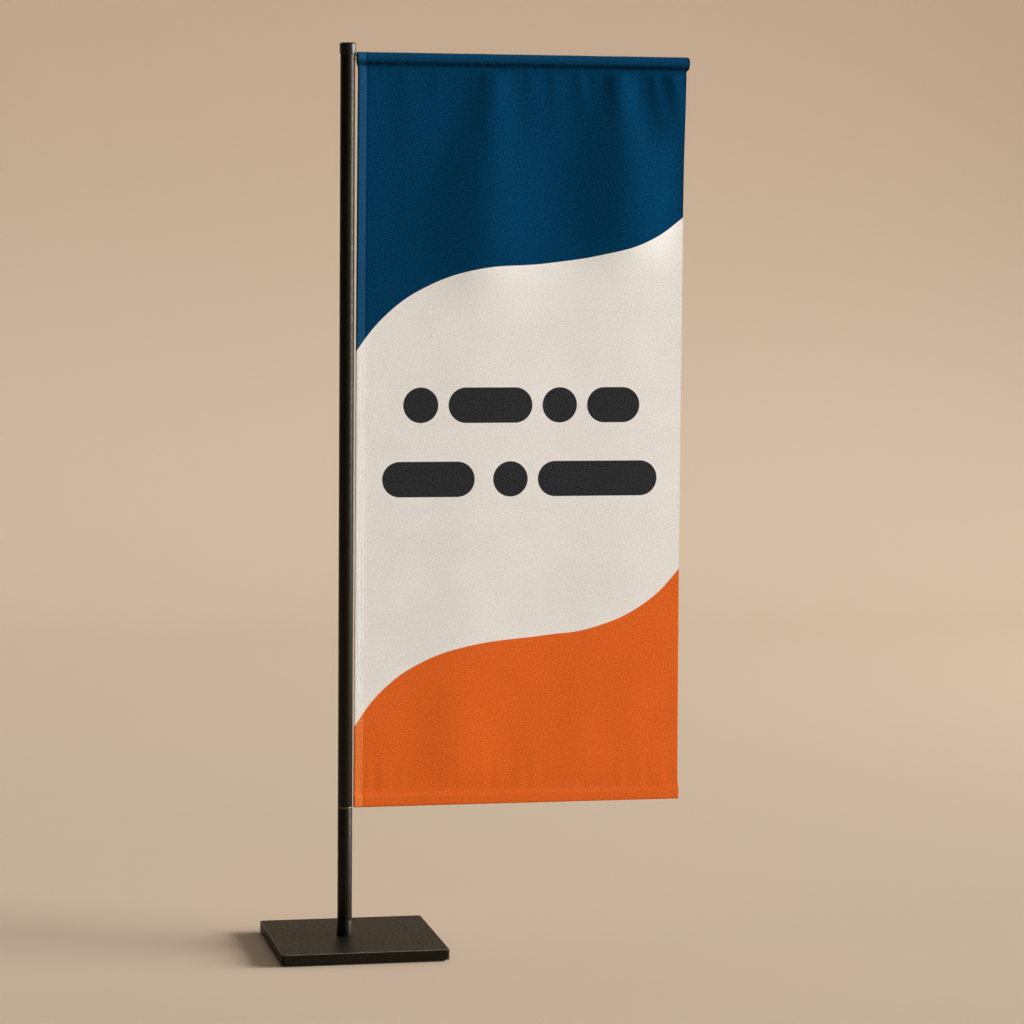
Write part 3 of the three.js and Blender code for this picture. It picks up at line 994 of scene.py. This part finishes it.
# Ridges that run down from the seam. At the seam and further down: place across, half width and
# height (mm). Then how far down the second set holds, and where the ridge starts and ends to fade.
RIDGES = (
    ((70, 7.0, 1.3), (67, 21.0, 2.7), 70, (75, 125)),
    ((131, 6.0, 1.6), (136, 19.0, 2.6), 60, (60, 110)),
    ((161, 10.0, 1.2), (161, 10.0, -0.7), 60, (65, 105)),
    ((7, 9.0, 0.6), (3, 14.0, 0.4), 40, (60, 120)),
    ((28, 3.6, 0.24), (30, 7.0, 0.3), 30, (20, 60)),
    ((43, 2.6, 0.15), (40, 6.0, 0.15), 30, (20, 50)),
    ((88, 3.2, 0.27), (90, 8.0, 0.35), 30, (25, 70)),
    ((100, 2.4, 0.24), (101, 6.0, 0.22), 30, (18, 50)),
    ((112, 2.4, 0.36), (116, 6.0, 0.30), 30, (14, 45)),
    ((119, 2.0, 0.20), (122, 5.0, 0.18), 30, (12, 40)),
    ((148, 2.4, 0.46), (153, 6.0, 0.50), 30, (22, 55)),
    ((157, 2.2, 0.42), (161, 4.5, 0.36), 22, (14, 40)),
)
LASTING_SHARE = 0.07
# Ridges that rise from the hem: place across, half width, height and reach upwards (mm).
HEM_RIDGES = (
    (20, 7.0, 0.10, 45),
    (55, 15.0, 0.42, 95),
    (92, 8.0, 0.14, 55),
    (114, 12.0, 0.26, 70),
    (143, 8.0, 0.12, 50),
)
PUCKER_HEIGHT = 0.05
HEM_PUCKER_HEIGHT = 0.045
# The panel's soft bow forwards, in millimetres, and the width that it spans.
BOW = 0.5
BOW_WIDTH = 165
# The left edge leans outwards on its way down, and the free edge has a slight waist (mm).
LEFT_EDGE_IN = 0.15
LEFT_EDGE_LEAN = 0.75
FREE_EDGE_WAIST = 1.0


def smooth_rise(value):
    value = np.clip(value, 0, 1)
    return value * value * (3 - 2 * value)


def ridges_below_seam(x, down):
    """The gathers that hang from the sleeve, in millimetres."""
    relief = np.zeros(np.broadcast(x, down).shape)
    for seam_set, low_set, full_depth, (fade_start, fade_end) in RIDGES:
        grown = smooth_rise(down / full_depth)
        place, half, height = (a + (b - a) * grown for a, b in zip(seam_set, low_set))
        fade = smooth_rise((down - fade_start) / (fade_end - fade_start))
        strength = height * (1 - (1 - LASTING_SHARE) * fade)
        relief += strength * np.exp(-(((x - place) / half) ** 2))
    return relief


def ridges_above_hem(x, up):
    """The weaker waves that rise from the bottom hem, in millimetres."""
    relief = np.zeros(np.broadcast(x, up).shape)
    for place, half, height, reach in HEM_RIDGES:
        fade = np.exp(-((up / reach) ** 2)) * smooth_rise(up / 14)
        relief += height * fade * np.exp(-(((x - place) / half) ** 2))
    return relief


def puckers(x, distance, height, pitch, reach):
    """Short ripples where stitches draw the cloth in, in millimetres."""
    near = np.exp(-((distance / reach) ** 2))
    uneven = 0.6 + 0.4 * np.sin(x / 11.0 + 0.7)
    main = np.sin(2 * np.pi * x / pitch + 1.3 * np.sin(x / 17))
    finer = 0.5 * np.sin(2 * np.pi * x / (0.62 * pitch) + 2.0 * np.sin(x / 23))
    return height * near * uneven * (main + finer)


def cloth_relief(x, down, length):
    """How far the panel stands forward, in metres, x across and down from the seam in metres."""
    x, down, length = x / MM, down / MM, length / MM
    up = length - down
    relief = ridges_below_seam(x, down) * smooth_rise(down / 4.5)
    relief += ridges_above_hem(x, up)
    bow = np.sin(np.pi * np.clip(down / length, 0, 1)) ** 2
    relief += BOW * bow * np.sin(np.pi * np.clip(x / BOW_WIDTH, 0, 1))
    relief *= smooth_rise(up / 8)
    relief += puckers(x, down, PUCKER_HEIGHT, 5.3, 7)
    relief += puckers(x, up, HEM_PUCKER_HEIGHT, 9.0, 14)
    on_panel = smooth_rise(down / 1.2) * smooth_rise(up / 1.2)
    return relief * on_panel * MM


def side_edges(sizes, down, length):
    """The cloth's left and right edge at each distance down from the seam."""
    share = np.clip(down / length, 0, 1)
    left = sizes["left"] + (LEFT_EDGE_IN - LEFT_EDGE_LEAN * share ** 0.6) * MM
    inward = np.sin(np.pi * share) ** 0.55 * FREE_EDGE_WAIST * MM
    right = sizes["right"] - inward * (1 - 0.25 * share)
    to_sleeve = smooth_rise(-(down - 0.7 * MM) / (1.2 * MM))
    to_sleeve = to_sleeve * smooth_rise((down + SLEEVE_TURN) / (1.5 * MM))
    corner = np.exp(-(((down + SLEEVE_TOP) / (1.7 * MM)) ** 2))
    left = left + (sizes["sleeve_left"] + (0.05 + 0.2 * corner) * MM - left) * to_sleeve
    right = right + (sizes["sleeve_right"] - (0.05 + 0.6 * corner) * MM - right) * to_sleeve
    to_hem = smooth_rise((down - length + 1.5 * MM) / (2.0 * MM))
    left = left + (sizes["hem_left"] - 0.1 * MM - left) * to_hem
    right = right + (sizes["hem_right"] - 0.25 * MM - right) * to_hem
    return left, right


class Cloth:
    """The banner's sheet as a surface: places and printed-side directions at any cloth coordinate."""

    def __init__(self):
        self.sizes = banner_sizes()
        path, seam_mark = centre_line(self.sizes)
        self.line, self.down = resampled(path, seam_mark)
        tangent = np.gradient(self.line, self.down, axis=0)
        tangent /= np.linalg.norm(tangent, axis=1)[:, None]
        self.outward = np.stack([tangent[:, 1], -tangent[:, 0]], axis=1)
        self.length = self.sizes["seam"] - self.sizes["hem_top"]

    def at(self, across, down):
        """Points and outward directions for arrays of cloth coordinates of one shape."""
        y, z = (np.interp(down, self.down, self.line[:, k]) for k in (0, 1))
        out_y, out_z = (np.interp(down, self.down, self.outward[:, k]) for k in (0, 1))
        left, right = side_edges(self.sizes, down, self.length)
        radius = FOLD_RADIUS
        quarter = 0.5 * math.pi * radius
        bend = np.clip(0.5 - across / (2 * quarter), 0, 1) * math.pi
        reach = np.maximum(np.abs(across) - quarter, 0)
        pressed = smooth_rise(reach / FOLD_PRESSED) * (2 * radius - LAYER_GAP)
        behind = radius * (1 - np.cos(bend)) - np.where(across < 0, pressed, 0)
        from_edge = radius * (1 - np.sin(bend)) + reach
        flat_width = self.sizes["width"] - quarter + radius
        x = left + from_edge * (right - left) / flat_width
        forward = cloth_relief(x, down, self.length)
        forward = forward + hem_step(np.abs(across), down, self.length)
        forward = forward + sleeve_relief(x, down)
        offset = forward - behind
        point = np.stack([x, y + out_y * offset, z + out_z * offset], axis=-1)
        return point, np.stack([np.zeros_like(x), out_y, out_z], axis=-1)


def hem_step(across, down, length):
    """The doubled strip beside the mast stands a little proud, and dips along its stitches."""
    proud = 0.10 * MM * (1 - smooth_rise((across - LEFT_HEM + 0.4 * MM) / (0.8 * MM)))
    dip = -0.07 * MM * np.exp(-(((across - LEFT_HEM + 0.9 * MM) / (0.45 * MM)) ** 2))
    on_panel = smooth_rise(down / (2 * MM)) * smooth_rise((length - down) / (2 * MM))
    return (proud + dip) * on_panel


def sleeve_relief(x, down):
    """Soft unevenness of the sleeve, which is loose between its stitches."""
    x, down = x / MM, down / MM
    on_sleeve = smooth_rise(-down / 1.2) * smooth_rise((down + SLEEVE_TURN / MM) / 2)
    slack = 0.05 * np.sin(x / 4.1 + 0.9 * np.sin(x / 13))
    gathers = 0.055 * np.sin(2 * np.pi * x / 3.9 + 2.0 * np.sin(x / 7))
    gathers += 0.04 * np.sin(2 * np.pi * x / 5.7 + 1.5 * np.sin(x / 9))
    low = np.exp(-(((down + 1.6) / 1.5) ** 2))
    return on_sleeve * (0.4 * slack + low * gathers) * MM


def make_banner():
    cloth = Cloth()
    across = fold_columns(cloth.sizes["width"])
    grid_down, grid_across = np.meshgrid(cloth.down, across, indexing="ij")
    points, _ = cloth.at(grid_across, grid_down)
    rows, columns = grid_down.shape
    index = np.arange(rows * columns).reshape(rows, columns)
    corners = [index[:-1, :-1], index[1:, :-1], index[1:, 1:], index[:-1, 1:]]
    faces = np.stack(corners, axis=-1).reshape(-1, 4)
    front = cloth_material("cloth_front", 0.0)
    back = cloth_material("cloth_back", 0.05)
    sheet = make_object("banner_cloth", points.reshape(-1, 3), faces.tolist(), [front, back])
    flat = np.stack([grid_across / CLOTH_SPAN, grid_down / CLOTH_SPAN + UV_ABOVE_SEAM], axis=-1)
    flat = flat.reshape(-1, 2)
    layer = sheet.data.uv_layers.new(name="cloth")
    layer.data.foreach_set("uv", flat[faces.ravel()].ravel())
    sheet.data.shade_smooth()
    thick = sheet.modifiers.new("thickness", "SOLIDIFY")
    thick.thickness = CLOTH
    thick.offset = 0
    thick.material_offset = 1
    thick.material_offset_rim = 0
    apply_modifiers(sheet)
    sheet.data.set_sharp_from_angle(angle=math.radians(60))
    place_piece(sheet, "banner", "cloth_print", "top_sleeve", "banner_panel", "left_hem", "bottom_hem")
    seams = make_stitches(cloth)


# Stitches

STITCH_PITCH = 2.9 * MM
STITCH_LENGTH = 2.3 * MM
THREAD = 0.10 * MM
STITCH_SECTIONS = 6
STITCH_SIDES = 6


def thread_material(name, tint, amount):
    """Polyester thread: a twisted relief, coloured like the print it runs through."""
    shader = Shader(name, {"Roughness": 0.6, "Specular IOR Level": 0.1})
    _, across, down = cloth_coordinates(shader)
    colour = shader.mix(amount, printed_colour(shader, across, down), tint)
    shader.set("Base Color", colour)
    place = shader.coordinates("Object")
    twist = shader.noise(shader.stretched(place, (5200, 5200, 5200)), 1.0, 1)
    shader.set("Normal", shader.bump(twist, 0.02 * MM, 0.8))
    return shader.material


def stitch_row(cloth, along, fixed, runs_across):
    """Rounded stitches along a line of cloth coordinates, on the printed side."""
    points, faces, flat = [], [], []
    sections, around = STITCH_SECTIONS, STITCH_SIDES
    for start in along:
        share = np.linspace(0, 1, sections)
        travel = start + STITCH_LENGTH * share
        a = travel if runs_across else np.full(sections, fixed)
        d = np.full(sections, fixed) if runs_across else travel
        centre, out = cloth.at(a, d)
        lift = CLOTH / 2 + THREAD * (np.sin(math.pi * share) - 0.55)
        centre = centre + out * lift[:, None]
        line = np.gradient(centre, axis=0)
        line /= np.linalg.norm(line, axis=1)[:, None]
        aside = np.cross(line, out)
        thick = THREAD * np.sqrt(np.clip(np.sin(math.pi * (0.04 + 0.92 * share)), 0.05, 1))
        first = len(points)
        for k in range(sections):
            for turn in range(around):
                angle = 2 * math.pi * turn / around
                ring = aside[k] * math.cos(angle) + out[k] * math.sin(angle)
                points.append(centre[k] + ring * thick[k])
                flat.append((a[k] / CLOTH_SPAN, d[k] / CLOTH_SPAN + UV_ABOVE_SEAM))
        for k in range(sections - 1):
            for turn in range(around):
                n = (turn + 1) % around
                low, high = first + k * around, first + (k + 1) * around
                faces.append((low + turn, low + n, high + n, high + turn))
        faces.append(tuple(range(first, first + around))[::-1])
        last = first + (sections - 1) * around
        faces.append(tuple(range(last, last + around)))
    return points, faces, flat


def stitch_piece(name, cloth, rows, material):
    points, faces, flat = [], [], []
    for row in rows:
        row_points, row_faces, row_flat = stitch_row(cloth, *row)
        start = len(points)
        points += row_points
        flat += row_flat
        faces += [tuple(start + corner for corner in face) for face in row_faces]
    made = make_object(name, points, faces, [material])
    face_outwards(made)
    made.data.shade_smooth()
    layer = made.data.uv_layers.new(name="cloth")
    for loop in made.data.loops:
        layer.data[loop.index].uv = flat[loop.vertex_index]
    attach(made, "banner")
    return made


def make_stitches(cloth):
    width, length = cloth.sizes["width"], cloth.length
    across = np.arange(1.2 * MM, width - STITCH_LENGTH, STITCH_PITCH)
    downwards = np.arange(2.0 * MM, length - STITCH_LENGTH, STITCH_PITCH)
    top_back = float(cloth.down[0]) + FLAP
    hem_back = float(cloth.down[-1]) - HEM_FLAP
    strip = LEFT_HEM - 0.9 * MM
    thread = thread_material("thread", (0.02, 0.018, 0.016, 1), 0.12)
    pale_thread = thread_material("pale_thread", (0.35, 0.80, 1.0, 1), 0.07)
    seams = {
        "top_stitching": ([(across, 0.0, True), (across, top_back, True)], thread),
        "side_stitching": ([(downwards, strip, False), (downwards, -strip, False)], pale_thread),
        "hem_stitching": ([(across, length, True), (across, hem_back, True)], pale_thread),
    }
    return [stitch_piece(name, cloth, rows, material) for name, (rows, material) in seams.items()]


make_camera()
make_world()
make_lights()
make_stage()
make_foot()
make_mast()
make_arm()
finish_hidden_parts()
make_banner()
